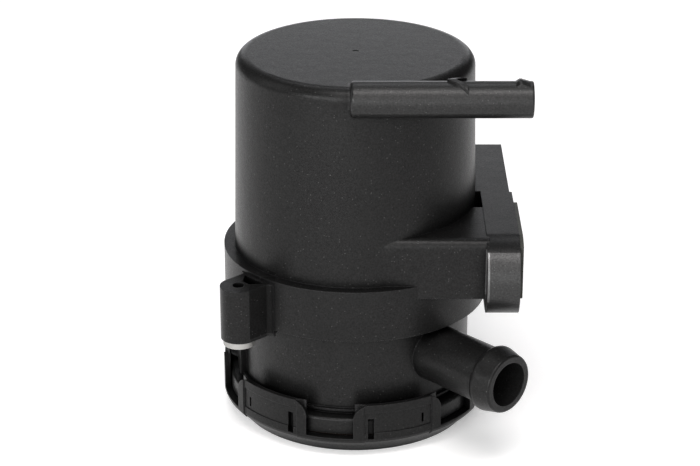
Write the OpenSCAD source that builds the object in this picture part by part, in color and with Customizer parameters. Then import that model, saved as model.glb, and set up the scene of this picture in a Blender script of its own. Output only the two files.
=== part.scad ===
// Crankcase oil separator: a moulded canister on a lower housing with a clip-on regulator cover.
// Millimetres, +Z up. The origin is on the canister axis, on the face that the part stands on.
// +X points along the drain tube and towards the engine flange.

/* [Canister] */
// Outside diameter of the canister at its foot
can_d = 97; // [96.6:0.1:97.2]
// Height of the canister above the collar
can_h = 79.7; // [78:0.5:90]
// Wall of the canister
can_wall = 2.8; // [2.4:0.1:3]
// Thickness of the closed end
can_end = 3; // [2.5:0.5:3.5]
// Draft of the canister wall in degrees
can_draft = 1.16; // [1:0.01:1.2]
// Radius of the round edge at the closed end
can_edge_r = 4.8; // [4.2:0.1:6]

/* [Collar] */
// Outside diameter of the collar
collar_d = 105.8; // [105.4:0.1:107]
// Height of the collar
collar_h = 20.9; // [20:0.1:24]
// Wall of the collar
collar_wall = 2.9; // [2.7:0.1:2.9]

/* [Drain tube] */
// Outside diameter of the drain tube
tube_d = 14; // [13.4:0.1:14.6]
// Bore of the drain tube
tube_bore_d = 10; // [9:0.1:10.4]
// Distance of the tube axis in front of the canister axis
tube_y = 46; // [45.6:0.1:46.2]
// Distance of the tube axis below the closed end
tube_drop = 3.7; // [3.4:0.1:4.5]
// End of the tube on the flange side
tube_reach = 66.3; // [62:0.1:70]
// Closed end of the tube, behind the canister axis
tube_back = 2; // [1:0.5:4]

/* [Engine flange] */
// Height of the flange, which is also twice its end radius
flange_h = 32; // [30:0.5:34]
// Length of the flange
flange_len = 113; // [112:0.5:118]
// Shift of the flange centre behind the canister axis
flange_shift = 0.5; // [0:0.1:1]
// Height of the flange centre above the collar top
flange_rise = 3.3; // [3:0.1:4]
// Back face of the flange plate, from the canister axis
flange_x0 = 50.4; // [50:0.1:51]
// Plate thickness up to the rear mounting face
flange_t = 11.6; // [11:0.1:13]
// Step from the rear face to the front face
flange_step = 1; // [0.5:0.1:1.5]
// Thickness of the seal that stands on the front face
seal_t = 1.4; // [1:0.1:2]
// Length of the seal frame along the flange
seal_len = 41.5; // [40:0.5:44]
// Width of the seal's band
seal_w = 2.4; // [2:0.1:2.4]
// Bore of the bolt bush
bush_bore_d = 8.4; // [8:0.1:9]

/* [Inlet duct] */
// Front face of the duct, in front of the canister axis
duct_y = 47.1; // [46.8:0.1:47.3]
// Width of the duct
duct_w = 34; // [32:0.5:35]
// Height of the duct
duct_h = 24.3; // [23:0.1:26]
// Height of the duct top above the collar top
duct_rise = 19.1; // [19:0.1:19.2]
// Wall of the duct
duct_wall = 2.6; // [2.2:0.1:2.8]
// Radius of the duct's front top edge
duct_edge_r = 3.5; // [2.5:0.1:4]

/* [Bracket boss] */
// Direction of the boss, counted from +X
boss_turn = 223; // [220:1:226]
// Distance of the boss screw from the canister axis
boss_reach = 62.1; // [61.5:0.1:63]
// Radius of the round nose of the boss
boss_r = 7.2; // [7:0.1:7.6]
// Height of the boss
boss_h = 22; // [21:0.5:24]
// Depth of the boss top below the collar top
boss_drop = 1.5; // [1:0.1:3]
// Thread core diameter of the insert
insert_bore_d = 5; // [4.8:0.1:5.2]

/* [Lower housing] */
// Outside diameter of the lower housing
body_d = 92.2; // [91.8:0.1:92.6]
// Wall of the lower housing
body_wall = 2.6; // [2.4:0.1:2.8]
// Height from the clamping ring's lower face to the collar skirt
body_h = 41.1; // [40.5:0.1:46]
// Diameter of the clamping ring that the cover snaps over
ring_d = 102.6; // [102.2:0.1:102.8]
// Height of the clamping ring
ring_h = 6.7; // [6.2:0.1:7]

/* [Outlet pipe] */
// Outside diameter of the outlet pipe
pipe_d = 22.8; // [22.2:0.1:23]
// Bore of the outlet pipe
pipe_bore_d = 17.7; // [17:0.1:18]
// Direction of the outlet pipe, counted from +X
pipe_turn = -46.4; // [-50:0.1:-42]
// Distance of the pipe mouth from the canister axis
pipe_reach = 85.6; // [82:0.1:90]
// Height of the pipe axis above the clamping ring's lower face
pipe_rise = 27.4; // [27:0.1:28.4]
// Diameter over the hose barb
barb_d = 26.4; // [25.2:0.1:27]
// Length of the hose barb
barb_len = 9.6; // [8:0.1:11]

/* [Regulator cover] */
// Outside diameter of the cover
cover_d = 107.2; // [106.8:0.1:107.6]
// Height of the cover rim, where the notches end
rim_h = 8.6; // [8.4:0.1:9.4]
// Height of the snap tabs above the rim
tab_h = 14.2; // [13.6:0.1:15]
// Number of snap tabs
tab_count = 6; // [6]
// Width of the notches between the tabs
notch_w = 18.9; // [18:0.1:20]
// Direction of the first notch, counted from +X
notch_turn = 199; // [195:1:203]
// Radius of the tab corners
tab_r = 6.5; // [5:0.1:7]
// Floor of the cover
cover_floor = 2.5; // [2:0.1:3]

/* [Regulator] */
// Thickness of the diaphragm
skin_t = 0.6; // [0.5:0.1:0.8]
// Travel of the regulator from open to shut
regulator_travel = 5; // [4.5:0.1:5]
// Radius of the regulator spring at the middle of its wire
reg_coil_r = 14.6; // [14.4:0.1:15]
// Wire of the regulator spring
reg_wire = 1.4; // [1.2:0.1:1.6]

/* [Filter element] */
// Outside diameter of the fleece
fleece_d = 72; // [68:0.5:74]
// Height of the fleece
fleece_h = 71.5; // [68:0.5:72]
// Outside diameter of the perforated core
core_d = 40; // [39:0.1:40.4]
// Wall of the perforated core
core_wall = 2; // [1.6:0.1:2.2]
// Travel of the bypass disc
bypass_travel = 4; // [3:0.1:4.5]

/* [Hidden] */
$fn = 96;
eps = 0.01;
bite = 0.1;
overrun = 5;

// Heights up the axis
ring_z = rim_h + skin_t;
ring_top_z = ring_z + ring_h;
skirt_z = ring_z + body_h;
step_z = skirt_z + collar_h;
top_z = step_z + can_h;
step_under_z = step_z - can_wall;

// Radii of the two housings
can_r = can_d / 2;
collar_r = collar_d / 2;
collar_in_r = collar_r - collar_wall;
body_r = body_d / 2;
body_in_r = body_r - body_wall;
ring_r = ring_d / 2;
gate_mark_r = 1.3;
gate_mark_depth = 0.12;

// Drain tube
tube_r = tube_d / 2;
tube_z = top_z - tube_drop;
tube_end_r = 1.4;
tube_blind = 4;
nib_x = 59.5;
nib_len = 5.4;
nib_top = 0.6;
nib_rise = 0.95;
arrow_x = 34;
arrow_len = 7.6;
arrow_half = 6;
arrow_w = 2.2;
arrow_rise = 1.1;

// Inlet duct
duct_z1 = step_z + duct_rise;
duct_z0 = duct_z1 - duct_h;
duct_x0 = 8;

// Engine flange
flange_r = flange_h / 2;
flange_z = step_z + flange_rise;
flange_y0 = flange_shift - flange_len / 2 + flange_r;
flange_y1 = flange_shift + flange_len / 2;
bolt_y = flange_y1 - flange_r;
flange_rear_x = flange_x0 + flange_t;
flange_front_x = flange_rear_x + flange_step;
front_face_end_y = 3;
seal_y0 = -duct_y - 1.1;
seal_z0 = duct_z0 + 0.2;
seal_z1 = flange_z + flange_r - 0.1;
seal_corner_r = 1.5;
seal_inner_corner_r = 0.8;
block_x = 46;
block_y = 3.7;
gusset_t = 3;
gusset_inset = 4;
bush_wall = 1.9;
bush_r = bush_bore_d / 2 + bush_wall;

// Bracket boss
boss_z1 = step_z - boss_drop;
boss_z0 = boss_z1 - boss_h;
boss_root = 48.5;
boss_fillet = 2.2;
boss_top_hole_r = 2.3;
insert_r = 4.2;
insert_len = 15;
insert_flange_r = 6.3;
insert_flange_t = 2.7;
insert_gap = 0.05;
pocket_depth = 6;
pocket_wall = 1.5;
pocket_len = 4.6;

// Lower housing
ring_edge_r = 1.2;
neck_r = body_r + 0.5;
neck_h = 1.4;
ledge_r = body_r + 1.5;
ledge_h = 0.9;
spigot_gap = 0.2;
spigot_r = collar_in_r - spigot_gap;
spigot_z0 = skirt_z + 1.7;
spigot_rib_t = 1.5;
seal_cord = 2.2;
seal_play = 0.02;
groove_play = 0.1;
joint_groove_z = skirt_z + 9.5;
joint_groove_w = 2.8;
rib_turn = 194;
rib_r = body_r + 2.5;
rib_w = 5;
shelf_r = 41.2;
shelf_z1 = skirt_z + 3.7;
shelf_h = 2;

// Outlet pipe and its seat
pipe_r = pipe_d / 2;
pipe_bore_r = pipe_bore_d / 2;
pipe_z = ring_z + pipe_rise;
mouth_r = pipe_r + 0.4;
lip_r = 1;
stand_r = pipe_r + 0.2;
stand_bore_r = pipe_bore_r + 0.25;
stand_top = 1.4;
spring_shelf_r = 17.5;
spring_shelf_t = 2;
web_t = 2.4;
web_rise = 1;

// Regulator cover
cover_r = cover_d / 2;
cover_foot_r = cover_r - 6.3;
cover_cone_h = 7.2;
border_w = 4.1;
border_rise = 0.45;
border_foot = 3.4;
tab_wall = 1.9;
tab_in_r = cover_r - tab_wall;
hook_r = 48.6;
hook_h = 2.6;
hook_gap = 0.1;
hook_w = 14;
cavity_r = 44;
pane_h = 8.6;
pane_sink = 0.35;
pane_foot = 2.1;
tab_pitch = 360 / tab_count;
slot_w = 2.4;
slot_h = 8.8;
slit_w = 1;
slit_h = 4;
slot_turn = 12.4;
slit_turn = 11;
vent_x = 24;
vent_y = 14;
vent_r = 3;
vent_gap = 0.1;
vent_sink = 0.6;
vent_head = 1.4;

// Regulator
plate_z0 = 9.6;
plate_t = 2;
plate_r = 30;
pad_t = 1.8;
pad_r = 10.6;
seat_gap = 0.3;
seat_z = plate_z0 + plate_t + pad_t + regulator_travel + seat_gap;
cup_t = 1.6;
cup_r = 27;
hub_r = 4;
hub_gap = 0.1;
head_r = 5.5;
head_t = 0.8;
clamp_gap = 0.03;
skin_z0 = plate_z0 - clamp_gap - skin_t;
cup_z0 = skin_z0 - clamp_gap - cup_t;
seat_play = 0.05;
plate_relief = 0.5;
stop_gap = 0.2;
stop_count = 6;
stop_r0 = 12;
stop_r1 = 28;
stop_w = 2;
roll_r = 5;
roll_mid = 36.6;
bead_r = 1.1;
bead_mid = 47;
skin_edge_r = 50.4;
cut_r = skin_edge_r + 0.4;
reg_spring_z0 = plate_z0 + plate_t;
reg_turns = 4;
reg_spring_h = 13.2;
spring_shelf_z = reg_spring_z0 + reg_spring_h;

// Filter element and divider
divider_r = body_in_r - 0.2;
divider_t = 2.5;
divider_z = shelf_z1;
divider_top_z = divider_z + divider_t;
divider_hole_r = 18;
socket_r = 21.3;
socket_wall = 2.4;
socket_h = 5;
divider_foot = 0.5;
divider_groove_h = 1.5;
divider_cord = 1.4;
cap_z0 = divider_top_z + socket_h;
cap_t = 2.5;
cap_r = fleece_d / 2 + 0.6;
element_spigot_r = socket_r - 0.2;
element_cord = 1.8;
element_groove_z = divider_top_z + 2.4;
element_groove_w = 2.1;
core_r = core_d / 2;
core_in_r = core_r - core_wall;
fleece_gap = 0.1;
core_z0 = cap_z0 + cap_t;
core_z1 = core_z0 + fleece_h;
window_rows = 6;
window_cols = 8;
window_w = 9;
window_h = 7.5;
top_cap_z1 = core_z1 + cap_t;
stay_r = 26;
stay_w = 3;
stay_len = 8;
skirt_r = 40.4;
skirt_wall = 1.5;
skirt_h = 36;
skirt_slot_w = 10;
skirt_slot_h = 2.5;
skirt_slot_rise = 1;

// Bypass valve
bypass_hole_r = 7;
disc_r = 9;
disc_t = 2;
disc_z1 = core_z1 - 0.1;
disc_z0 = disc_z1 - disc_t;
pilot_r = 4.8;
pilot_h = 3;
bypass_coil_r = 6.2;
bypass_wire = 0.9;
bypass_turns = 5;
bypass_spring_h = 12;
cage_base_z = disc_z0 - bypass_spring_h;
cage_base_t = 1.8;
cage_r = 13.5;
cage_ring_t = 1.4;
cage_ring_w = 2;
cage_legs = 3;
cage_leg_w = 4;

// Lays a drawing of Y and Z out along +X from x0, len long
module along_x(x0, len) {
  translate([x0, 0, 0]) rotate([90, 0, 90]) linear_extrude(len) children();
}

// Turns a drawing of radius and X about a line along X
module about_x(y, z) {
  translate([0, y, z]) rotate([0, 90, 0]) rotate_extrude() children();
}

// What is cut off a square corner at the origin to round it, on its upper right side
module corner_waste(r) {
  difference() {
    translate([-r, -r]) square(r + 1);
    translate([-r, -r]) circle(r);
  }
}

// A ring drawn in radius and height
module ring(r0, r1, z0, z1) {
  rotate_extrude() translate([r0, z0]) square([r1 - r0, z1 - z0]);
}

// A round cord lying in a circle
module cord_ring(mid_r, z, cord) {
  rotate_extrude() translate([mid_r, z]) circle(cord / 2, $fn = 24);
}

// A coil spring with closed end turns, as a closed skin of rings along a helix
module coil(mid_r, wire, turns, z0, height, steps = 24, sides = 8) {
  n = turns * steps;
  wire_r = wire / 2;
  dead = wire * 1.1;
  pitch = (height - wire - 2 * dead) / (turns - 2);
  function lift(t) = dead * (min(t, 1) + max(t - turns + 1, 0)) + pitch * max(min(t - 1, turns - 2), 0);
  points = [for (i = [0:n]) for (k = [0:sides - 1])
    let (t = i / steps, a = 360 * k / sides, q = mid_r + wire_r * cos(a))
    [q * cos(360 * t), q * sin(360 * t), z0 + wire_r + lift(t) + wire_r * sin(a)]];
  skin = [for (i = [0:n - 1]) for (k = [0:sides - 1])
    let (a = i * sides + k, b = i * sides + (k + 1) % sides)
    each [[a, a + sides, b + sides], [a, b + sides, b]]];
  ends = [for (k = [1:sides - 2]) each [[0, k, k + 1], [n * sides, n * sides + k + 1, n * sides + k]]];
  polyhedron(points, concat(skin, ends), convexity = 4);
}

// Canister wall radius at a height
function wall_r(z) = can_r - tan(can_draft) * (z - step_z);

// Canister and collar as one turned outline, with a round edge at the closed end
module canister_outline(inset, end_inset, edge_r, z0, foot_r) {
  zc = top_z - end_inset - edge_r;
  xc = wall_r(zc) - inset - edge_r / cos(can_draft);
  polygon([[0, z0], [foot_r, z0], [foot_r, step_z - inset], [can_r - inset, step_z - inset],
    [xc + edge_r * cos(can_draft), zc + edge_r * sin(can_draft)], [xc, zc + edge_r],
    [0, zc + edge_r]]);
  translate([xc, zc]) circle(edge_r);
}

module canister_body() {
  rotate_extrude() difference() {
    canister_outline(0, 0, can_edge_r, skirt_z, collar_r);
    translate([-collar_r, 0]) square([collar_r, top_z]);
  }
}

module canister_hollow() {
  rotate_extrude() difference() {
    canister_outline(can_wall, can_end, can_edge_r - can_end + 0.6, skirt_z - 1, collar_in_r);
    translate([-collar_r, 0]) square([collar_r, top_z]);
  }
}

// Drain tube with a closed round end, a hose nib and a raised arrow
module drain_tube_body() {
  about_x(-tube_y, tube_z) difference() {
    translate([0, -tube_back]) square([tube_r, tube_reach + tube_back]);
    translate([tube_r, -tube_back]) mirror([0, 1]) corner_waste(tube_end_r);
    translate([tube_r, tube_reach]) corner_waste(tube_end_r / 2);
  }
  intersection() {
    about_x(-tube_y, tube_z) polygon([[tube_r - 1, nib_x], [tube_r, nib_x],
      [tube_r + nib_rise, nib_x + 1.5], [tube_r + nib_rise, nib_x + 1.5 + nib_top],
      [tube_r, nib_x + nib_len], [tube_r - 1, nib_x + nib_len]]);
    translate([0, -tube_y - tube_r / 2, tube_z]) cube([tube_reach, tube_r, tube_d]);
  }
  intersection() {
    translate([arrow_x - 1, -tube_y, tube_z]) rotate([0, 90, 0]) cylinder(r = tube_r + arrow_rise,
      h = arrow_len + 2);
    translate([0, 0, tube_z]) linear_extrude(tube_d) arrow_outline();
  }
}

module arrow_outline() {
  for (side = [-1, 1])
    polygon([[arrow_x, -tube_y], [arrow_x + arrow_w * 1.3, -tube_y],
      [arrow_x + arrow_len, -tube_y + side * (arrow_half - arrow_w)],
      [arrow_x + arrow_len, -tube_y + side * arrow_half]]);
}

module drain_tube_bore() {
  translate([tube_blind - tube_back, -tube_y, tube_z]) rotate([0, 90, 0])
    cylinder(d = tube_bore_d, h = tube_reach + overrun);
}

// Rectangular duct that leads from the flange into the canister along its front wall
module duct_body() {
  along_x(duct_x0, flange_x0 - duct_x0 + 1) difference() {
    translate([-duct_y, duct_z0]) square([duct_w, duct_h]);
    translate([-duct_y, duct_z1]) mirror([1, 0]) corner_waste(duct_edge_r);
  }
}

module duct_passage() {
  along_x(duct_x0 + 2, flange_front_x - duct_x0 + overrun)
    translate([-duct_y + duct_wall, duct_z0 + duct_wall])
    square([duct_w - 2 * duct_wall, duct_h - 2 * duct_wall]);
}

// Flange outline in Y and Z: round at the front end, square at the rear end
module flange_outline(from_y, to_y) {
  intersection() {
    union() {
      translate([flange_y0, flange_z]) circle(flange_r);
      translate([flange_y0, flange_z - flange_r]) square([flange_y1 - flange_y0, flange_h]);
    }
    translate([from_y, 0]) square([to_y - from_y, top_z]);
  }
}

// Long flange plate: rear mounting face, and the front face one step higher
module flange_body() {
  along_x(flange_x0, flange_t) flange_outline(-flange_len, flange_len);
  along_x(flange_x0, flange_t + flange_step) flange_outline(-flange_len, front_face_end_y);
  along_x(block_x, flange_x0 - block_x + eps) flange_outline(block_y, flange_len);
}

// Webs that tie the rear half of the flange to the canister
module flange_gussets() {
  for (z = [flange_z - flange_r + gusset_inset, flange_z + flange_r - gusset_inset - gusset_t])
    translate([0, 0, z]) linear_extrude(gusset_t)
      polygon([[40, block_y + 2], [block_x + 1, block_y + 2], [block_x + 1, bolt_y + 4],
        [28, 37.5], [26, 36]]);
}

// Lug for the bracket screw, drawn with its axis along +X and then turned into place
module boss_place() {
  rotate([0, 0, boss_turn]) children();
}

module boss_body() {
  root_x = sqrt(collar_r * collar_r - boss_r * boss_r);
  boss_place() translate([0, 0, boss_z0]) linear_extrude(boss_h) {
    translate([boss_reach, 0]) circle(boss_r);
    translate([boss_root, -boss_r]) square([boss_reach - boss_root, 2 * boss_r]);
    for (side = [-1, 1]) difference() {
      translate([root_x - 1, side * (boss_r + boss_fillet / 2) - boss_fillet / 2])
        square([boss_fillet + 1, boss_fillet]);
      translate([root_x + boss_fillet, side * (boss_r + boss_fillet - bite)]) circle(boss_fillet);
    }
  }
}

module boss_holes() {
  boss_place() {
    translate([boss_reach, 0, boss_z0 - overrun]) cylinder(r = insert_r, h = insert_len + overrun);
    translate([boss_reach, 0, boss_z0]) cylinder(r = boss_top_hole_r, h = boss_h + overrun);
    translate([collar_r + pocket_wall - 0.6, 0, boss_z1 - pocket_depth])
      linear_extrude(pocket_depth + overrun)
      polygon([[0, -boss_r + pocket_wall], [pocket_len, -1.6], [pocket_len, 2.2],
        [0, boss_r - pocket_wall]]);
  }
}

module upper_housing() {
  color("dimgray") difference() {
    union() {
      canister_body();
      drain_tube_body();
      duct_body();
      flange_body();
      flange_gussets();
      boss_body();
    }
    canister_hollow();
    drain_tube_bore();
    duct_passage();
    boss_holes();
    translate([block_x - 1, bolt_y, flange_z]) rotate([0, 90, 0])
      cylinder(r = bush_r + insert_gap, h = flange_front_x - block_x + overrun);
    translate([0, 0, top_z - gate_mark_depth]) cylinder(r = gate_mark_r, h = 1);
  }
}

// Turned wall of the lower housing, from its clamping ring up to the spigot in the collar
module lower_shell() {
  rotate_extrude() difference() {
    union() {
      translate([body_in_r, ring_z]) square([body_wall, step_under_z - ring_z]);
      translate([body_in_r, ring_z]) square([ring_r - body_in_r, ring_h]);
      translate([body_in_r, ring_top_z]) square([neck_r - body_in_r, neck_h]);
      translate([body_in_r, ring_top_z + neck_h]) square([ledge_r - body_in_r, ledge_h]);
      for (z = [spigot_z0, joint_groove_z - spigot_rib_t, joint_groove_z + joint_groove_w,
          step_under_z - spigot_rib_t])
        translate([body_in_r, z]) square([spigot_r - body_in_r, spigot_rib_t]);
      translate([shelf_r, shelf_z1 - shelf_h]) square([body_in_r - shelf_r + 1, shelf_h]);
      translate([body_in_r, joint_groove_z])
        square([spigot_r - seal_cord + groove_play - body_in_r, joint_groove_w]);
    }
    translate([ring_r, ring_top_z]) corner_waste(ring_edge_r);
  }
}

module lower_rib() {
  rotate([0, 0, rib_turn]) translate([body_r - 1, -rib_w / 2, ring_top_z + neck_h])
    cube([rib_r - body_r + 1, rib_w, skirt_z - ring_top_z - neck_h]);
}

// Outlet pipe with its hose barb, turned about its own axis
module outlet_pipe_body() {
  barb_r = barb_d / 2;
  x0 = pipe_reach - barb_len;
  translate([0, 0, pipe_z]) rotate([0, 0, pipe_turn]) rotate([0, 90, 0]) rotate_extrude()
    difference() {
      union() {
        square([pipe_r, pipe_reach]);
        polygon([[0, x0], [pipe_r, x0], [barb_r - 0.5, x0 + 0.5], [barb_r, x0 + 1.6],
          [barb_r, x0 + 2.6], [mouth_r, pipe_reach - lip_r], [mouth_r, pipe_reach], [0, pipe_reach]]);
      }
      translate([mouth_r, pipe_reach]) corner_waste(lip_r);
    }
}

module outlet_pipe_bore() {
  translate([0, 0, pipe_z]) rotate([0, 0, pipe_turn]) rotate([0, 90, 0])
    cylinder(r = pipe_bore_r, h = pipe_reach + overrun);
  translate([0, 0, seat_z - overrun]) cylinder(r = stand_bore_r, h = pipe_z - seat_z + overrun
    + pipe_bore_r);
}

module lower_housing() {
  color("dimgray") difference() {
    union() {
      lower_shell();
      lower_rib();
      outlet_pipe_body();
      translate([0, 0, seat_z]) cylinder(r = stand_r, h = pipe_z + pipe_r + stand_top - seat_z);
      translate([0, 0, spring_shelf_z]) cylinder(r = spring_shelf_r, h = spring_shelf_t);
      for (turn = [120, 240]) rotate([0, 0, pipe_turn + turn])
        translate([stand_r - 1, -web_t / 2, spring_shelf_z + web_rise])
        cube([body_in_r + 0.5 - stand_r + 1, web_t, pipe_z + pipe_r - spring_shelf_z - web_rise]);
    }
    outlet_pipe_bore();
  }
}

// Turned outline of the cover, with its wall moved out by some amount
module cover_outline(out) {
  polygon([[0, 0], [cover_foot_r + out, 0], [cover_r - 0.4 + out, cover_cone_h - 0.6],
    [cover_r + out, cover_cone_h + 0.4], [cover_r + out, rim_h + tab_h], [0, rim_h + tab_h]]);
}

// A drawing of width and height pushed outwards through the tab wall at a direction
module through_wall(turn) {
  rotate([0, 0, turn]) translate([cut_r, 0, 0]) rotate([90, 0, 90])
    linear_extrude(cover_r - cut_r + overrun) children();
}

// The gap between two tabs, open at the top, with the tab corners rounded
module notch_outline() {
  top = rim_h + tab_h;
  difference() {
    union() {
      translate([-notch_w / 2, rim_h - bite]) square([notch_w, tab_h + bite + overrun]);
      for (side = [-1, 1]) translate([side * (notch_w / 2 + tab_r / 2) - tab_r / 2, top - tab_r])
        square([tab_r, tab_r + overrun]);
    }
    for (side = [-1, 1]) translate([side * (notch_w / 2 + tab_r - bite), top - tab_r + bite])
      circle(tab_r);
  }
}

// The raised border that runs round each notch
module border_outline() {
  half = notch_w / 2 + border_w;
  translate([-half, rim_h - border_foot]) square([2 * half, tab_h + border_foot + 1]);
}

// Everything inside the cover: the air space, the seat of the clamping ring and the bead's groove
module cover_cavity() {
  translate([0, cover_floor]) square([cavity_r, rim_h]);
  translate([0, rim_h]) square([tab_in_r, rim_h + tab_h]);
  translate([bead_mid, rim_h]) circle(bead_r + 0.1, $fn = 32);
}

// Catches on the tabs that grip over the clamping ring
module cover_hooks() {
  hook_z = ring_top_z + hook_gap;
  intersection() {
    rotate_extrude() polygon([[hook_r, hook_z], [tab_in_r + 1, hook_z], [tab_in_r + 1, hook_z + hook_h],
      [tab_in_r, hook_z + hook_h], [hook_r, hook_z + hook_h / 3]]);
    for (k = [0:tab_count - 1]) rotate([0, 0, notch_turn + (k + 0.5) * tab_pitch])
      translate([0, -hook_w / 2, hook_z - 1]) cube([cover_r, hook_w, hook_h + 2]);
  }
}

// Ribs on the cover's floor that the regulator rests on when it is fully open
module cover_stops() {
  for (k = [0:stop_count - 1]) rotate([0, 0, k * 360 / stop_count])
    translate([stop_r0, -stop_w / 2, cover_floor - eps])
    cube([stop_r1 - stop_r0, stop_w, cup_z0 - stop_gap - cover_floor + eps]);
}

// Sunk pane, long slot and short slit of one tab
module tab_details(turn, hand) {
  pane_z = rim_h + pane_foot;
  half = (tab_pitch / 2) - asin((notch_w / 2 + border_w) / cover_r) - 0.4;
  rotate([0, 0, turn - half]) rotate_extrude(angle = 2 * half)
    translate([cover_r - pane_sink, pane_z]) square([2, pane_h]);
  through_wall(turn + hand * slot_turn) translate([-slot_w / 2, rim_h - 0.6]) square([slot_w, slot_h]);
  through_wall(turn - hand * slit_turn) translate([-slit_w / 2, rim_h + 3.6]) square([slit_w, slit_h]);
}

module regulator_cover() {
  color("dimgray") {
    difference() {
      union() {
        rotate_extrude() cover_outline(0);
        intersection() {
          rotate_extrude() cover_outline(border_rise);
          for (k = [0:tab_count - 1]) through_wall(notch_turn + k * tab_pitch) border_outline();
        }
      }
      rotate_extrude() cover_cavity();
      for (k = [0:tab_count - 1]) {
        through_wall(notch_turn + k * tab_pitch) notch_outline();
        tab_details(notch_turn + (k + 0.5) * tab_pitch, k % 2 == 0 ? 1 : -1);
      }
      translate([vent_x, vent_y, -1]) cylinder(r = vent_r, h = cover_floor + 2);
    }
    cover_hooks();
    cover_stops();
  }
}

// Rubber diaphragm: clamped edge with a bead, one roll and a flat centre under the plate
module diaphragm() {
  roll_z = skin_z0 + skin_t;
  wall_x = roll_mid + roll_r - skin_t / 2;
  color("saddlebrown") rotate_extrude() {
    translate([hub_r + hub_gap, skin_z0]) square([roll_mid - roll_r - hub_r - hub_gap + eps, skin_t]);
    difference() {
      translate([roll_mid, roll_z]) circle(roll_r + skin_t / 2);
      translate([roll_mid, roll_z]) circle(roll_r - skin_t / 2);
      translate([roll_mid - 2 * roll_r, roll_z]) square(4 * roll_r);
    }
    translate([wall_x, rim_h]) square([skin_edge_r - wall_x, skin_t]);
    translate([wall_x, rim_h]) square([skin_t, roll_z - rim_h]);
    translate([bead_mid, rim_h]) intersection() {
      circle(bead_r, $fn = 32);
      translate([-bead_r, -bead_r]) square([2 * bead_r, bead_r + skin_t / 2]);
    }
  }
}

module diaphragm_plate() {
  color("gray") difference() {
    union() {
      translate([0, 0, plate_z0]) cylinder(r = plate_r, h = plate_t);
      translate([0, 0, cup_z0 - head_t]) cylinder(r = hub_r, h = plate_z0 - cup_z0 + head_t + 1);
      translate([0, 0, cup_z0 - head_t]) cylinder(r = head_r, h = head_t);
    }
    ring(reg_coil_r + reg_wire, plate_r - 3, plate_z0 + plate_t - plate_relief, plate_z0 + plate_t + 1);
  }
}

module diaphragm_cup() {
  color("gray") ring(hub_r + hub_gap, cup_r, cup_z0, cup_z0 + cup_t);
}

module valve_pad() {
  color("black") translate([0, 0, plate_z0 + plate_t]) cylinder(r = pad_r, h = pad_t);
}

module regulator_spring() {
  color("silver") coil(reg_coil_r, reg_wire, reg_turns, reg_spring_z0 + seat_play,
    reg_spring_h - seat_play);
}

module vent_filter() {
  color("tan") translate([vent_x, vent_y, 0]) {
    translate([0, 0, vent_sink]) cylinder(r = vent_r - vent_gap, h = cover_floor - vent_sink);
    translate([0, 0, cover_floor]) cylinder(r = vent_r + 1, h = vent_head);
  }
}

module housing_seal() {
  color("black") cord_ring(collar_in_r - seal_play - seal_cord / 2,
    joint_groove_z + joint_groove_w / 2, seal_cord);
}

// Outline of the flange seal: a rectangle that follows the flange's round end
module seal_outline(inset, r) {
  y0 = seal_y0 + inset;
  y1 = seal_y0 + seal_len - inset;
  z0 = seal_z0 + inset;
  z1 = seal_z1 - inset;
  intersection() {
    union() {
      translate([y0 + r, z0]) square([y1 - y0 - 2 * r, z1 - z0]);
      translate([y0, z0 + r]) square([y1 - y0, z1 - z0 - 2 * r]);
      for (y = [y0 + r, y1 - r]) for (z = [z0 + r, z1 - r]) translate([y, z]) circle(r);
    }
    union() {
      translate([flange_y0, flange_z]) circle(seal_z1 - flange_z - inset);
      translate([flange_y0, 0]) square([flange_len, top_z]);
    }
  }
}

// Rubber frame bonded round the duct's mouth on the front face
module flange_seal() {
  color("darkolivegreen") along_x(flange_front_x, seal_t) difference() {
    seal_outline(0, seal_corner_r);
    seal_outline(seal_w, seal_inner_corner_r);
  }
}

module flange_bush() {
  color("silver") translate([block_x, bolt_y, flange_z]) rotate([0, 90, 0]) difference() {
    cylinder(r = bush_r, h = flange_rear_x - block_x);
    translate([0, 0, -1]) cylinder(d = bush_bore_d, h = flange_rear_x - block_x + 2);
  }
}

module boss_insert() {
  color("silver") boss_place() translate([boss_reach, 0, boss_z0]) difference() {
    union() {
      cylinder(r = insert_r - insert_gap, h = insert_len - 0.5);
      translate([0, 0, -insert_flange_t]) cylinder(r = insert_flange_r, h = insert_flange_t);
    }
    translate([0, 0, -insert_flange_t - 1]) cylinder(d = insert_bore_d, h = insert_len + overrun + 2);
  }
}

// Floor between separator and regulator, with the element's socket and the splash skirt
module outlet_divider() {
  color("dimgray") {
    rotate_extrude() difference() {
      translate([divider_hole_r, divider_z]) square([divider_r - divider_hole_r, divider_t]);
      translate([divider_r - divider_cord + groove_play, divider_z + divider_foot])
        square([divider_cord + 1, divider_groove_h]);
    }
    ring(socket_r, socket_r + socket_wall, divider_top_z - eps, divider_top_z + socket_h);
    splash_skirt();
  }
}

module divider_seal() {
  color("black") cord_ring(body_in_r - seal_play - divider_cord / 2,
    divider_z + divider_foot + divider_groove_h / 2, divider_cord);
}

// Cylinder that catches the first splash of oil, with a row of drain slots at its foot
module splash_skirt() {
  difference() {
    ring(skirt_r - skirt_wall, skirt_r, divider_top_z - eps, divider_top_z + skirt_h);
    for (k = [0:3]) rotate([0, 0, k * 45 + 10])
      translate([-body_r, -skirt_slot_w / 2, divider_top_z + skirt_slot_rise])
      cube([2 * body_r, skirt_slot_w, skirt_slot_h]);
  }
}

module element_bottom_cap() {
  color("gray") {
    ring(core_in_r, cap_r, cap_z0, cap_z0 + cap_t);
    rotate_extrude() difference() {
      translate([core_in_r, divider_top_z + 0.3])
        square([element_spigot_r - core_in_r, cap_z0 - divider_top_z - 0.3 + eps]);
      translate([element_spigot_r - element_cord + groove_play, element_groove_z - element_groove_w / 2])
        square([element_cord + 1, element_groove_w]);
    }
  }
}

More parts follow.
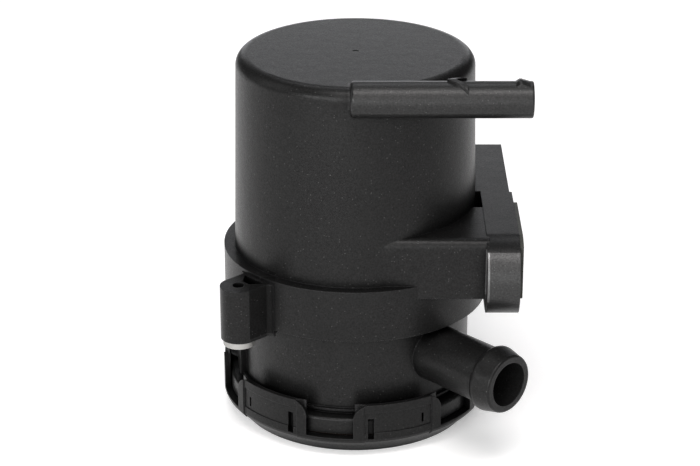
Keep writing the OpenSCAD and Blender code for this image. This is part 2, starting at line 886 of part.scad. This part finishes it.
// Perforated tube that holds the fleece
module element_core() {
  pitch = fleece_h / window_rows;
  color("gray") difference() {
    ring(core_in_r, core_r, core_z0, core_z1);
    for (row = [0:window_rows - 1]) for (k = [0:window_cols / 2 - 1])
      rotate([0, 0, (k + 0.5 * (row % 2)) * 360 / window_cols])
        translate([-core_r - 1, -window_w / 2, core_z0 + pitch * (row + 0.5) - window_h / 2])
        cube([core_d + 2, window_w, window_h]);
  }
}

module element_fleece() {
  color("ivory") ring(core_r + fleece_gap, fleece_d / 2, core_z0, core_z1);
}

// Closed end of the element with the bypass hole and the stays that hold it down
module element_top_cap() {
  color("gray") {
    ring(bypass_hole_r, cap_r, core_z1, top_cap_z1);
    for (k = [0:3]) rotate([0, 0, 45 + k * 90])
      translate([stay_r - stay_len / 2, -stay_w / 2, top_cap_z1 - eps])
      cube([stay_len, stay_w, top_z - can_end - top_cap_z1 + eps]);
  }
}

module element_seal() {
  color("black") cord_ring(socket_r - seal_play - element_cord / 2, element_groove_z, element_cord);
}

module bypass_disc() {
  color("black") {
    translate([0, 0, disc_z0]) cylinder(r = disc_r, h = disc_t);
    translate([0, 0, disc_z0 - pilot_h]) cylinder(r = pilot_r, h = pilot_h + eps);
  }
}

module bypass_spring() {
  color("silver") coil(bypass_coil_r, bypass_wire, bypass_turns, cage_base_z,
    bypass_spring_h - seat_play, 20, 6);
}

module bypass_cage() {
  color("gray") {
    ring(cage_r - cage_ring_w, cage_r, core_z1 - cage_ring_t, core_z1);
    ring(2.5, cage_r, cage_base_z - cage_base_t, cage_base_z);
    intersection() {
      ring(cage_r - cage_ring_w, cage_r, cage_base_z - eps, core_z1 - cage_ring_t + eps);
      for (k = [0:cage_legs - 1]) rotate([0, 0, k * 360 / cage_legs])
        translate([0, -cage_leg_w / 2, cage_base_z - 1]) cube([cage_r + 1, cage_leg_w,
          core_z1 - cage_base_z + 2]);
    }
  }
}

upper_housing();
lower_housing();
regulator_cover();
diaphragm();
diaphragm_plate();
diaphragm_cup();
valve_pad();
regulator_spring();
vent_filter();
housing_seal();
flange_seal();
flange_bush();
boss_insert();
outlet_divider();
divider_seal();
element_bottom_cap();
element_core();
element_fleece();
element_top_cap();
element_seal();
bypass_disc();
bypass_spring();
bypass_cage();
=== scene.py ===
import math

import bmesh
import bpy
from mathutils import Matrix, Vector


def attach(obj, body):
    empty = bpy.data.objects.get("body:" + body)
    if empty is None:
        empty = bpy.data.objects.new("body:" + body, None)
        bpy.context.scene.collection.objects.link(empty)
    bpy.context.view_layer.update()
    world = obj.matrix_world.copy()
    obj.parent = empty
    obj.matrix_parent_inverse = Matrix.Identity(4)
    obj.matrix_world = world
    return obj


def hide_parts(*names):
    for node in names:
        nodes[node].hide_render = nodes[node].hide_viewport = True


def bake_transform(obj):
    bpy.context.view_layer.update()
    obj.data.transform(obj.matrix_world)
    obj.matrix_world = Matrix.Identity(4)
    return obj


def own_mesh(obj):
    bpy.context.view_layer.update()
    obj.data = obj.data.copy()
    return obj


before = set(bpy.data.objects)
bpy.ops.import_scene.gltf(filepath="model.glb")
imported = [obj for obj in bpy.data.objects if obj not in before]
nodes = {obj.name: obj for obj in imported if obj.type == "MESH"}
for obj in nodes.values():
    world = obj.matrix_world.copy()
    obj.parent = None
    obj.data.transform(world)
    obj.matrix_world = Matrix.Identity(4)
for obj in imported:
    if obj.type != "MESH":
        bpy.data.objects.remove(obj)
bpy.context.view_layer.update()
scene = bpy.context.scene


# Node helpers


def rgba(colour):
    """Three colour shares as an opaque colour."""
    return (*colour, 1.0)


def grey(level):
    """A neutral opaque colour."""
    return rgba((level, level, level))


def new_material(name):
    """A node material, with its tree and its shader."""
    material = bpy.data.materials.new(name)
    material.use_nodes = True
    tree = material.node_tree
    return material, tree, tree.nodes["Principled BSDF"]


def add(tree, kind, **settings):
    """A new node. Each setting goes to the input of that name, or else to the node itself."""
    node = tree.nodes.new(kind)
    for key, value in settings.items():
        if key in node.inputs:
            node.inputs[key].default_value = value
        else:
            setattr(node, key, value)
    return node


def feed(tree, socket, value):
    """Link an output to an input, or set the input to a plain value."""
    if isinstance(value, bpy.types.NodeSocket):
        tree.links.new(value, socket)
    else:
        socket.default_value = value


def math_node(tree, operation, *values, clamp=False):
    """A calculation on up to three values, each a number or an output."""
    node = add(tree, "ShaderNodeMath", operation=operation, use_clamp=clamp)
    for socket, value in zip(node.inputs, values):
        feed(tree, socket, value)
    return node.outputs[0]


# The colour sockets of a Mix node
MIX_FACTOR = 0
MIX_A = 6
MIX_B = 7
MIX_RESULT = 2


def mix_colours(tree, factor, a, b, blend="MIX"):
    """Two colours mixed by a factor, each of the three a plain value or an output."""
    node = add(tree, "ShaderNodeMix", data_type="RGBA", blend_type=blend)
    feed(tree, node.inputs[MIX_FACTOR], factor)
    feed(tree, node.inputs[MIX_A], a)
    feed(tree, node.inputs[MIX_B], b)
    return node.outputs[MIX_RESULT]


def ramp(tree, source, low, high, low_at=0.3, high_at=0.7):
    """One colour below low_at, another above high_at, and a blend between them."""
    node = add(tree, "ShaderNodeValToRGB")
    for stop, colour, at in zip(node.color_ramp.elements, (low, high), (low_at, high_at)):
        stop.position = at
        stop.color = colour
    tree.links.new(source, node.inputs["Fac"])
    return node.outputs["Color"]


def own_place(tree):
    """The point's place in the object's own metres."""
    return add(tree, "ShaderNodeTexCoord").outputs["Object"]


def noise(tree, place, scale, detail=2.0, roughness=0.5):
    """Soft noise from 0 to 1, with about scale lumps in a metre."""
    node = add(tree, "ShaderNodeTexNoise", Scale=scale, Detail=detail, Roughness=roughness)
    tree.links.new(place, node.inputs["Vector"])
    return node.outputs["Fac"]


def bumped(tree, shader, height, strength, distance, normal=None):
    """Give the shader a bumpy surface."""
    bump = add(tree, "ShaderNodeBump", Strength=strength, Distance=distance)
    tree.links.new(height, bump.inputs["Height"])
    if normal:
        tree.links.new(normal, bump.inputs["Normal"])
    tree.links.new(bump.outputs[0], shader.inputs["Normal"])


# Moulded plastic and rubber

BLOTCH_SCALE = 45.0
BLOTCH_DEPTH = 0.14

# Specks of glass and dust: cells in a metre, dot radius in cells, share of cells with none, grey level
SPECK_KINDS = ((420.0, 0.09, 0.96, 0.075), (1000.0, 0.22, 0.88, 0.04))
SPECK_BLUE = 0.98

# Paler edges, partly painted highlight and partly wear: rounding radius, gain, noise grain and colour
PALE_EDGE_RADIUS = 0.0009
PALE_EDGE_GAIN = 2.0
PALE_EDGE_GRAIN = 900.0
EDGE_WEAR_AND_HIGHLIGHT = rgba((0.10, 0.10, 0.105))
BEVEL_SAMPLES = 4

MOTTLE_SCALE = 1500.0
MOTTLE_DEPTH = 1.1
# Painted corner shade: how far the search for corners reaches, the darkest shade, and its samples
CORNER_REACH = 0.008
CORNER_DARKEST = 0.12
CORNER_SAMPLES = 8

ROUGH_GRAIN = 1400.0
ROUGH_SPREAD = 0.05
GRAIN_SIZE = 0.00045
RIPPLE_SCALE = 160.0
RIPPLE_SHARE = 1.5
GRAIN_DEPTH = 0.00012
SOFT_EDGE_RADIUS = 0.0004


def with_specks(tree, place, colour, strength):
    """Light specks, each a tiny dot in a cell that chance picks."""
    for cells, dot_radius, empty_share, level in SPECK_KINDS:
        cell = add(tree, "ShaderNodeTexVoronoi", Scale=cells)
        tree.links.new(place, cell.inputs["Vector"])
        dot = math_node(tree, "LESS_THAN", cell.outputs["Distance"], dot_radius)
        chance = add(tree, "ShaderNodeSeparateColor")
        tree.links.new(cell.outputs["Color"], chance.inputs[0])
        picked = math_node(tree, "GREATER_THAN", chance.outputs[0], empty_share)
        speck = math_node(tree, "MULTIPLY", math_node(tree, "MULTIPLY", dot, picked), strength)
        colour = mix_colours(tree, speck, colour, rgba((level, level, level * SPECK_BLUE)))
    return colour


def with_worn_and_lit_edges(tree, place, colour, strength):
    """Paler edges, partly painted highlight and partly wear, found where the rounded normal leans away
    from the true one.
    """
    rounded = add(tree, "ShaderNodeBevel", Radius=PALE_EDGE_RADIUS, samples=BEVEL_SAMPLES)
    surface = add(tree, "ShaderNodeNewGeometry")
    alike = add(tree, "ShaderNodeVectorMath", operation="DOT_PRODUCT")
    tree.links.new(rounded.outputs[0], alike.inputs[0])
    tree.links.new(surface.outputs["Normal"], alike.inputs[1])
    pale_edge = math_node(tree, "SUBTRACT", 1.0, alike.outputs["Value"], clamp=True)
    for factor in (PALE_EDGE_GAIN, noise(tree, place, PALE_EDGE_GRAIN), strength):
        pale_edge = math_node(tree, "MULTIPLY", pale_edge, factor, clamp=True)
    return mix_colours(tree, pale_edge, colour, EDGE_WEAR_AND_HIGHLIGHT)


def inside_box(tree, place, low, high):
    """1 inside a box of the object's own space, 0 outside it."""
    axes = add(tree, "ShaderNodeSeparateXYZ")
    tree.links.new(place, axes.inputs[0])
    inside = 1.0
    for axis, start, end in zip(axes.outputs, low, high):
        above = math_node(tree, "GREATER_THAN", axis, start)
        below = math_node(tree, "LESS_THAN", axis, end)
        inside = math_node(tree, "MULTIPLY", math_node(tree, "MULTIPLY", above, below), inside)
    return inside


def mottled_shade(tree, place):
    """Fine mottling, times less light the deeper a spot sits in a corner or a slot."""
    grains = noise(tree, place, MOTTLE_SCALE, roughness=0.6)
    mottle = math_node(tree, "MULTIPLY_ADD", grains, MOTTLE_DEPTH, 1 - MOTTLE_DEPTH / 2)
    openness = add(tree, "ShaderNodeAmbientOcclusion", Distance=CORNER_REACH, samples=CORNER_SAMPLES)
    lit = ramp(tree, openness.outputs["AO"], grey(CORNER_DARKEST), grey(1.0), low_at=0.15, high_at=0.85)
    return math_node(tree, "MULTIPLY", mottle, lit)


def moulded(name, base, rough, specular=0.5, specks=0.0, edge=0.25, bump=0.45, gloss_and_shade_boxes=()):
    """Moulded nylon or rubber: blotches, mottling, specks, paler edges of painted highlight and wear,
    painted shade in corners and fine grain. A gloss-and-shade box is a low corner, a high corner and the
    gloss that is added between them; negative gloss paints shade and large gloss paints a highlight."""
    material, tree, shader = new_material(name)
    place = own_place(tree)

    blotches = noise(tree, place, BLOTCH_SCALE, detail=3.0, roughness=0.6)
    darker = [share * (1 - BLOTCH_DEPTH) for share in base]
    lighter = [share * (1 + BLOTCH_DEPTH) for share in base]
    colour = ramp(tree, blotches, rgba(darker), rgba(lighter))
    if specks:
        colour = with_specks(tree, place, colour, specks)
    # Paler edges of painted highlight and wear
    if edge:
        colour = with_worn_and_lit_edges(tree, place, colour, edge)

    uneven = noise(tree, place, ROUGH_GRAIN)
    roughness = ramp(tree, uneven, grey(rough - ROUGH_SPREAD), grey(rough + ROUGH_SPREAD))
    tree.links.new(roughness, shader.inputs["Roughness"])

    gloss = specular
    # Gloss raised or lowered inside each box, which paints a highlight or shade there
    for low, high, gain in gloss_and_shade_boxes:
        gloss = math_node(tree, "MULTIPLY_ADD", inside_box(tree, place, low, high), gain, gloss)
    # Painted shade: the colour and the gloss both darken the deeper a spot sits in a corner or a slot
    shade = mottled_shade(tree, place)
    tree.links.new(math_node(tree, "MULTIPLY", gloss, shade), shader.inputs["Specular IOR Level"])
    shaded = mix_colours(tree, factor=1.0, a=colour, b=shade, blend="MULTIPLY")
    tree.links.new(shaded, shader.inputs["Base Color"])

    fine = noise(tree, place, 1 / GRAIN_SIZE, roughness=0.6)
    ripple = math_node(tree, "MULTIPLY", noise(tree, place, RIPPLE_SCALE), RIPPLE_SHARE)
    soft_edge = None
    if edge:
        soft_edge = add(tree, "ShaderNodeBevel", Radius=SOFT_EDGE_RADIUS, samples=BEVEL_SAMPLES).outputs[0]
    grain = math_node(tree, "ADD", fine, ripple)
    bumped(tree, shader, grain, strength=bump, distance=GRAIN_DEPTH, normal=soft_edge)
    return material


# Metal and fleece

METAL_GRAIN = 700.0
METAL_DULL = 0.85
METAL_ROUGH_SPREAD = 0.08
SCRATCH_DEPTH = 0.00005

FIBRE_SCALE = 900.0
FIBRE_SHADOW = rgba((0.5, 0.48, 0.42))
FIBRE_LIGHT = rgba((0.82, 0.8, 0.72))
FIBRE_ROUGHNESS = 0.95
FIBRE_DEPTH = 0.0004


def metal(name, base, rough):
    """Plain metal with a fine uneven sheen."""
    material, tree, shader = new_material(name)
    grain = noise(tree, own_place(tree), METAL_GRAIN, detail=3.0)
    duller = [share * METAL_DULL for share in base]
    tone = ramp(tree, grain, rgba(duller), rgba(base))
    tree.links.new(tone, shader.inputs["Base Color"])
    roughness = ramp(tree, grain, grey(rough - METAL_ROUGH_SPREAD), grey(rough + METAL_ROUGH_SPREAD))
    tree.links.new(roughness, shader.inputs["Roughness"])
    shader.inputs["Metallic"].default_value = 1.0
    bumped(tree, shader, grain, strength=0.3, distance=SCRATCH_DEPTH)
    return material


def fleece(name):
    """Off-white felt of fine fibres."""
    material, tree, shader = new_material(name)
    fibres = noise(tree, own_place(tree), FIBRE_SCALE, detail=6.0, roughness=0.7)
    tree.links.new(ramp(tree, fibres, FIBRE_SHADOW, FIBRE_LIGHT), shader.inputs["Base Color"])
    shader.inputs["Roughness"].default_value = FIBRE_ROUGHNESS
    bumped(tree, shader, fibres, strength=0.9, distance=FIBRE_DEPTH)
    return material


# The upper housing's faces with more or less gloss than the rest, which paint highlight and shade: low
# corner, high corner, added gloss
# Drain tube and flange end: partly a smoother moulded face, partly painted highlight
DRAIN_TUBE_GLOSS_AND_HIGHLIGHT = ((-0.003, -0.060, 0.1435), (0.070, -0.0375, 0.156), 0.16)
FLANGE_END_GLOSS_AND_HIGHLIGHT = ((0.050, -0.060, 0.0600), (0.0635, -0.036, 0.0868), 0.30)
# Flange edge: a thin strip of painted highlight
FLANGE_EDGE_HIGHLIGHT = ((0.0500, -0.0575, 0.068), (0.0512, -0.045, 0.0868), 1.1)
# Boss flank and boss pocket: gloss taken away as painted shade
BOSS_FLANK_SHADE = ((-0.0410, -0.056, 0.049), (-0.0312, -0.038, 0.0720), -0.13)
BOSS_POCKET_SHADE = ((-0.0405, -0.0462, 0.0715), (-0.0310, -0.034, 0.0727), -0.17)

HOUSING_BLACK = (0.0072, 0.0072, 0.0072)
COVER_BLACK = (0.0065, 0.0065, 0.0065)

UPPER = moulded("black_nylon_upper", base=HOUSING_BLACK, rough=0.34, specular=0.17, specks=1.0,
                gloss_and_shade_boxes=(DRAIN_TUBE_GLOSS_AND_HIGHLIGHT, FLANGE_END_GLOSS_AND_HIGHLIGHT, FLANGE_EDGE_HIGHLIGHT, BOSS_FLANK_SHADE, BOSS_POCKET_SHADE))
LOWER = moulded("black_nylon", base=HOUSING_BLACK, rough=0.34, specular=0.19, specks=1.0)
COVER = moulded("black_nylon_cover", base=COVER_BLACK, rough=0.36, specular=0.16, specks=0.7)
INNER = moulded("black_nylon_plain", base=(0.03, 0.03, 0.03), rough=0.5, edge=0.0)
NATURAL = moulded("natural_nylon", base=(0.62, 0.6, 0.52), rough=0.45, edge=0.0)
RUBBER = moulded("black_rubber", base=(0.016, 0.016, 0.016), rough=0.55, edge=0.0, bump=0.15)
OLIVE = moulded("dark_rubber", base=(0.022, 0.023, 0.017), rough=0.5, edge=0.0, bump=0.15)
BROWN = moulded("brown_rubber", base=(0.07, 0.035, 0.02), rough=0.6, edge=0.0, bump=0.2)
SINTERED = moulded("sintered", base=(0.36, 0.3, 0.22), rough=0.8, edge=0.0, bump=0.8)
WIRE = metal("spring_wire", base=(0.55, 0.55, 0.56), rough=0.3)
STEEL = metal("plated_steel", base=(0.62, 0.61, 0.58), rough=0.35)
INSERT = metal("insert_metal", base=(0.42, 0.415, 0.40), rough=0.55)
FELT = fleece("fleece_felt")

DRESS = {
    "upper_housing": UPPER,
    "lower_housing": LOWER,
    "regulator_cover": COVER,
    "diaphragm": BROWN,
    "diaphragm_plate": NATURAL,
    "diaphragm_cup": NATURAL,
    "valve_pad": RUBBER,
    "regulator_spring": WIRE,
    "vent_filter": SINTERED,
    "housing_seal": RUBBER,
    "flange_seal": OLIVE,
    "flange_bush": STEEL,
    "boss_insert": INSERT,
    "outlet_divider": INNER,
    "divider_seal": RUBBER,
    "element_bottom_cap": INNER,
    "element_core": INNER,
    "element_fleece": FELT,
    "element_top_cap": INNER,
    "element_seal": RUBBER,
    "bypass_disc": NATURAL,
    "bypass_spring": WIRE,
    "bypass_cage": INNER,
}
for name, node in nodes.items():
    for material_slot in node.material_slots:
        material_slot.material = DRESS[name]


# Pieces copied to stand in for CAD parts

# In the real part, the diaphragm's rim stays clamped and its middle lifts with the plate. Here the
# diaphragm is cut into sectors.
SECTORS = 16


def stand_in(node, name):
    """A copy of a CAD node's mesh that takes its place and may change shape."""
    mesh = nodes[node].data.copy()
    mesh.transform(nodes[node].matrix_world)
    mesh.materials.clear()
    mesh.materials.append(DRESS[node])
    piece = bpy.data.objects.new(name, mesh)
    scene.collection.objects.link(piece)
    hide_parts(node)
    return piece


def coil_shortens(node):
    """A copy of the spring that takes its place, attached to the housing."""
    piece = stand_in(node, node + "_coil")
    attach(piece, "housing")
    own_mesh(piece)


def cut_through_axis(mesh, turn, keep_ahead):
    """Cut a mesh by the upright plane at this turn, and keep the side ahead of it or behind it."""
    across = (-math.sin(turn), math.cos(turn), 0)
    everything = mesh.verts[:] + mesh.edges[:] + mesh.faces[:]
    bmesh.ops.bisect_plane(mesh, geom=everything, plane_co=(0, 0, 0), plane_no=across,
                           clear_inner=keep_ahead, clear_outer=not keep_ahead)


def diaphragm_sector(number):
    """One sector of the diaphragm, cut out between two upright planes."""
    piece = stand_in("diaphragm", "diaphragm_sector_%d" % number)
    half = math.pi / SECTORS
    middle = 2 * half * number
    mesh = bmesh.new()
    mesh.from_mesh(piece.data)
    cut_through_axis(mesh, middle - half, keep_ahead=True)
    cut_through_axis(mesh, middle + half, keep_ahead=False)
    mesh.to_mesh(piece.data)
    mesh.free()
    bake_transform(piece)


coil_shortens("regulator_spring")
coil_shortens("bypass_spring")
for number in range(SECTORS):
    diaphragm_sector(number)


# Floor, in metres

FLOOR_HALF = 6.0
FLOOR_DROP = 0.0002
FLOOR_GREY = 0.9
FLOOR_ROUGHNESS = 0.9
FLOOR_GLOW = 0.36
WHITE = grey(1.0)


def pale_floor():
    """A matt floor whose glow is only for camera, glossy and transmission rays."""
    material, tree, shader = new_material("pale_floor")
    shader.inputs["Base Color"].default_value = grey(FLOOR_GREY)
    shader.inputs["Roughness"].default_value = FLOOR_ROUGHNESS
    shader.inputs["Specular IOR Level"].default_value = 0.0
    rays = add(tree, "ShaderNodeLightPath").outputs
    seen = math_node(tree, "ADD", rays["Is Camera Ray"], rays["Is Glossy Ray"], clamp=True)
    seen = math_node(tree, "ADD", seen, rays["Is Transmission Ray"], clamp=True)
    tree.links.new(math_node(tree, "MULTIPLY", seen, FLOOR_GLOW), shader.inputs["Emission Strength"])
    shader.inputs["Emission Color"].default_value = WHITE
    return material


floor_corners = [(-FLOOR_HALF, -FLOOR_HALF, 0), (FLOOR_HALF, -FLOOR_HALF, 0),
                 (FLOOR_HALF, FLOOR_HALF, 0), (-FLOOR_HALF, FLOOR_HALF, 0)]
floor_mesh = bpy.data.meshes.new("floor")
floor_mesh.from_pydata(floor_corners, [], [(0, 1, 2, 3)])
floor_mesh.materials.append(pale_floor())
floor = bpy.data.objects.new("floor", floor_mesh)
scene.collection.objects.link(floor)
floor.location = (0, 0, -FLOOR_DROP)


# Lights, on a dome round the part, with angles in degrees, sizes in metres and power in watts

AIM = Vector((0, 0, 0.08))
LIGHT_DISTANCE = 1.6
NEUTRAL = (1.0, 1.0, 1.0)
WARM = (1.0, 0.972, 0.965)
COOL = (0.965, 0.97, 1.0)
WORLD_LIGHT = 0.045


def softbox(name, azimuth, elevation, width, height, power, colour=NEUTRAL):
    """A soft panel that looks at the part: azimuth 0 is the camera's side, 90 the right side."""
    light = bpy.data.lights.new(name, "AREA")
    light.shape = "RECTANGLE"
    light.size = width
    light.size_y = height
    light.energy = power
    light.color = colour
    panel = bpy.data.objects.new(name, light)
    scene.collection.objects.link(panel)
    turn = math.radians(azimuth)
    rise = math.radians(elevation)
    away = Vector((math.cos(rise) * math.sin(turn), -math.cos(rise) * math.cos(turn), math.sin(rise)))
    panel.location = AIM + LIGHT_DISTANCE * away
    panel.rotation_euler = (-away).to_track_quat("-Z", "Y").to_euler()


softbox("back_low", azimuth=180, elevation=10, width=1.1, height=0.40, power=2.9, colour=COOL)
softbox("back_high", azimuth=180, elevation=58, width=1.1, height=0.70, power=4.8, colour=COOL)
softbox("front_low", azimuth=357, elevation=11, width=1.1, height=0.78, power=8.0)
softbox("front_mid", azimuth=0, elevation=39, width=1.1, height=0.70, power=6.0, colour=WARM)
softbox("front_high", azimuth=5, elevation=65, width=1.1, height=0.50, power=14.5, colour=WARM)
softbox("top", azimuth=0, elevation=88, width=0.9, height=0.40, power=2.0)
softbox("left_front", azimuth=326, elevation=14, width=0.9, height=0.50, power=12.5)
softbox("left", azimuth=270, elevation=30, width=0.9, height=1.20, power=4.2)

# The world lights the part faintly, and the camera sees it white
world = bpy.data.worlds.new("studio")
scene.world = world
world.use_nodes = True
background = world.node_tree.nodes["Background"]
background.inputs["Color"].default_value = WHITE
camera_ray = add(world.node_tree, "ShaderNodeLightPath").outputs["Is Camera Ray"]
brightness = math_node(world.node_tree, "MULTIPLY_ADD", camera_ray, 1 - WORLD_LIGHT, WORLD_LIGHT)
world.node_tree.links.new(brightness, background.inputs["Strength"])

scene.view_settings.view_transform = "Standard"


# Camera, at the photograph's place, in metres and degrees

LENS_MM = 115.99
SENSOR_MM = 36.0
CAMERA_PLACE = (-0.0021, -0.8392, 0.4291)
LOOKS_DOWN = 22.95
NEAREST = 0.05
FARTHEST = 50.0

optics = bpy.data.cameras.new("camera")
optics.lens = LENS_MM
optics.sensor_width = SENSOR_MM
optics.clip_start = NEAREST
optics.clip_end = FARTHEST
camera = bpy.data.objects.new("camera", optics)
scene.collection.objects.link(camera)
camera.location = CAMERA_PLACE
camera.rotation_euler = (math.radians(90 - LOOKS_DOWN), 0, 0)
scene.camera = camera

bpy.context.view_layer.update()
